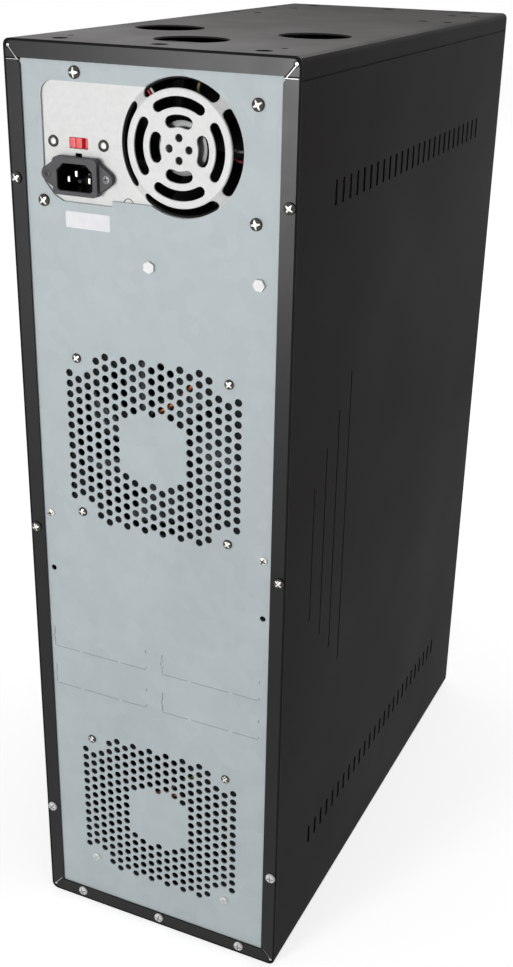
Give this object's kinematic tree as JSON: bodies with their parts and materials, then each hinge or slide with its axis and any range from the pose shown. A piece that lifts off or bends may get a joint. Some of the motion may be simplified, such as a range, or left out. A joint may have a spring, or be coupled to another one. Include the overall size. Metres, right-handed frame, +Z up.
{
  "type": "disc duplicator tower",
  "caption": "Tall narrow steel tower that copies optical discs: a stack of tray drives under a control unit, with a power supply and two case fans at the rear.",
  "frame": {"origin": "on the underside of the case, below its middle", "axes": "+Z up, +Y to the rear where the mains inlet is, +X to the left side as seen from the rear"},
  "size_m": [0.186, 0.419, 0.617],
  "materials": {
    "black_powder_coat": "fine textured black powder coat on steel sheet",
    "cover_powder_coat": "fine textured black powder coat on steel sheet, a little dusty on the top",
    "galvanised_steel": "satin hot-dip zinc coat on steel sheet",
    "bright_steel": "bright zinc-plated steel sheet",
    "drive_case_steel": "thin plated steel case with a black moulded bezel",
    "drive_plastic": "spark-eroded texture on moulded ABS",
    "tray_plastic": "fine matt moulded ABS",
    "fan_plastic": "glass-filled moulded PBT",
    "inlet_plastic": "moulded black nylon",
    "red_plastic": "glossy moulded red plastic",
    "circuit_board": "green solder mask on glass epoxy board",
    "cable_sleeve": "soft PVC insulation and ribbon cable"
  },
  "bodies": {
    "tower": {"outer_shell": "black_powder_coat", "top_cover": "cover_powder_coat", "rear_panel": "galvanised_steel", "front_panel": "black_powder_coat", "cage_left": "galvanised_steel", "cage_right": "galvanised_steel", "psu_case": "bright_steel", "psu_cover": "bright_steel", "psu_board": "circuit_board", "psu_fan_frame": "fan_plastic", "power_inlet": "inlet_plastic", "voltage_selector": "red_plastic", "upper_fan_frame": "fan_plastic", "lower_fan_frame": "fan_plastic", "controller_fascia": "drive_plastic", "controller_tray": "bright_steel", "controller_board": "circuit_board", "display_board": "circuit_board", "power_switch_housing": "inlet_plastic", "fan_loom": "cable_sleeve", "drive_harness": "cable_sleeve", "drive_01_case": "drive_case_steel", "drive_02_case": "drive_case_steel", "drive_03_case": "drive_case_steel", "drive_04_case": "drive_case_steel", "drive_05_case": "drive_case_steel", "drive_06_case": "drive_case_steel", "drive_07_case": "drive_case_steel", "drive_08_case": "drive_case_steel", "drive_09_case": "drive_case_steel", "drive_10_case": "drive_case_steel"},
    "psu_fan_rotor": {"psu_fan_rotor": "fan_plastic"},
    "upper_fan_rotor": {"upper_fan_rotor": "fan_plastic"},
    "lower_fan_rotor": {"lower_fan_rotor": "fan_plastic"},
    "voltage_slider": {"voltage_slider": "red_plastic"},
    "power_rocker": {"power_rocker": "inlet_plastic"},
    "key_up": {"key_up": "drive_plastic"},
    "key_down": {"key_down": "drive_plastic"},
    "key_enter": {"key_enter": "drive_plastic"},
    "key_escape": {"key_escape": "drive_plastic"},
    "drive_01_tray": {"drive_01_tray": "tray_plastic"},
    "drive_02_tray": {"drive_02_tray": "tray_plastic"},
    "drive_03_tray": {"drive_03_tray": "tray_plastic"},
    "drive_04_tray": {"drive_04_tray": "tray_plastic"},
    "drive_05_tray": {"drive_05_tray": "tray_plastic"},
    "drive_06_tray": {"drive_06_tray": "tray_plastic"},
    "drive_07_tray": {"drive_07_tray": "tray_plastic"},
    "drive_08_tray": {"drive_08_tray": "tray_plastic"},
    "drive_09_tray": {"drive_09_tray": "tray_plastic"},
    "drive_10_tray": {"drive_10_tray": "tray_plastic"},
    "drive_01_eject_button": {"drive_01_eject_button": "drive_plastic"},
    "drive_02_eject_button": {"drive_02_eject_button": "drive_plastic"},
    "drive_03_eject_button": {"drive_03_eject_button": "drive_plastic"},
    "drive_04_eject_button": {"drive_04_eject_button": "drive_plastic"},
    "drive_05_eject_button": {"drive_05_eject_button": "drive_plastic"},
    "drive_06_eject_button": {"drive_06_eject_button": "drive_plastic"},
    "drive_07_eject_button": {"drive_07_eject_button": "drive_plastic"},
    "drive_08_eject_button": {"drive_08_eject_button": "drive_plastic"},
    "drive_09_eject_button": {"drive_09_eject_button": "drive_plastic"},
    "drive_10_eject_button": {"drive_10_eject_button": "drive_plastic"}
  },
  "joints": [
    {"name": "psu_fan_spin", "type": "hinge", "parent": "tower", "child": "psu_fan_rotor", "pos_m": [-0.0212, 0.19, 0.564], "axis": [0, 1, 0], "continuous": true},
    {"name": "upper_fan_spin", "type": "hinge", "parent": "tower", "child": "upper_fan_rotor", "pos_m": [0, 0.19, 0.3784], "axis": [0, 1, 0], "continuous": true},
    {"name": "lower_fan_spin", "type": "hinge", "parent": "tower", "child": "lower_fan_rotor", "pos_m": [0, 0.19, 0.0953], "axis": [0, 1, 0], "continuous": true},
    {"name": "voltage_slider_shift", "type": "slide", "parent": "tower", "child": "voltage_slider", "axis": [-1, 0, 0], "range_m": [0, 0.004]},
    {"name": "power_rocker_tilt", "type": "hinge", "parent": "tower", "child": "power_rocker", "pos_m": [0.048, -0.2042, 0.068], "axis": [-1, 0, 0], "range_deg": [0, 20]},
    {"name": "key_up_press", "type": "slide", "parent": "tower", "child": "key_up", "axis": [0, 1, 0], "range_m": [0, 0.0008], "stiffness_N_per_m": 500},
    {"name": "key_down_press", "type": "slide", "parent": "tower", "child": "key_down", "axis": [0, 1, 0], "range_m": [0, 0.0008], "stiffness_N_per_m": 500},
    {"name": "key_enter_press", "type": "slide", "parent": "tower", "child": "key_enter", "axis": [0, 1, 0], "range_m": [0, 0.0008], "stiffness_N_per_m": 500},
    {"name": "key_escape_press", "type": "slide", "parent": "tower", "child": "key_escape", "axis": [0, 1, 0], "range_m": [0, 0.0008], "stiffness_N_per_m": 500},
    {"name": "drive_01_tray_slide", "type": "slide", "parent": "tower", "child": "drive_01_tray", "axis": [0, -1, 0], "range_m": [0, 0.135]},
    {"name": "drive_02_tray_slide", "type": "slide", "parent": "tower", "child": "drive_02_tray", "axis": [0, -1, 0], "range_m": [0, 0.135]},
    {"name": "drive_03_tray_slide", "type": "slide", "parent": "tower", "child": "drive_03_tray", "axis": [0, -1, 0], "range_m": [0, 0.135]},
    {"name": "drive_04_tray_slide", "type": "slide", "parent": "tower", "child": "drive_04_tray", "axis": [0, -1, 0], "range_m": [0, 0.135]},
    {"name": "drive_05_tray_slide", "type": "slide", "parent": "tower", "child": "drive_05_tray", "axis": [0, -1, 0], "range_m": [0, 0.135]},
    {"name": "drive_06_tray_slide", "type": "slide", "parent": "tower", "child": "drive_06_tray", "axis": [0, -1, 0], "range_m": [0, 0.135]},
    {"name": "drive_07_tray_slide", "type": "slide", "parent": "tower", "child": "drive_07_tray", "axis": [0, -1, 0], "range_m": [0, 0.135]},
    {"name": "drive_08_tray_slide", "type": "slide", "parent": "tower", "child": "drive_08_tray", "axis": [0, -1, 0], "range_m": [0, 0.135]},
    {"name": "drive_09_tray_slide", "type": "slide", "parent": "tower", "child": "drive_09_tray", "axis": [0, -1, 0], "range_m": [0, 0.135]},
    {"name": "drive_10_tray_slide", "type": "slide", "parent": "tower", "child": "drive_10_tray", "axis": [0, -1, 0], "range_m": [0, 0.135]},
    {"name": "drive_01_eject_press", "type": "slide", "parent": "tower", "child": "drive_01_eject_button", "axis": [0, 1, 0], "range_m": [0, 0.001], "stiffness_N_per_m": 400},
    {"name": "drive_02_eject_press", "type": "slide", "parent": "tower", "child": "drive_02_eject_button", "axis": [0, 1, 0], "range_m": [0, 0.001], "stiffness_N_per_m": 400},
    {"name": "drive_03_eject_press", "type": "slide", "parent": "tower", "child": "drive_03_eject_button", "axis": [0, 1, 0], "range_m": [0, 0.001], "stiffness_N_per_m": 400},
    {"name": "drive_04_eject_press", "type": "slide", "parent": "tower", "child": "drive_04_eject_button", "axis": [0, 1, 0], "range_m": [0, 0.001], "stiffness_N_per_m": 400},
    {"name": "drive_05_eject_press", "type": "slide", "parent": "tower", "child": "drive_05_eject_button", "axis": [0, 1, 0], "range_m": [0, 0.001], "stiffness_N_per_m": 400},
    {"name": "drive_06_eject_press", "type": "slide", "parent": "tower", "child": "drive_06_eject_button", "axis": [0, 1, 0], "range_m": [0, 0.001], "stiffness_N_per_m": 400},
    {"name": "drive_07_eject_press", "type": "slide", "parent": "tower", "child": "drive_07_eject_button", "axis": [0, 1, 0], "range_m": [0, 0.001], "stiffness_N_per_m": 400},
    {"name": "drive_08_eject_press", "type": "slide", "parent": "tower", "child": "drive_08_eject_button", "axis": [0, 1, 0], "range_m": [0, 0.001], "stiffness_N_per_m": 400},
    {"name": "drive_09_eject_press", "type": "slide", "parent": "tower", "child": "drive_09_eject_button", "axis": [0, 1, 0], "range_m": [0, 0.001], "stiffness_N_per_m": 400},
    {"name": "drive_10_eject_press", "type": "slide", "parent": "tower", "child": "drive_10_eject_button", "axis": [0, 1, 0], "range_m": [0, 0.001], "stiffness_N_per_m": 400}
  ]
}
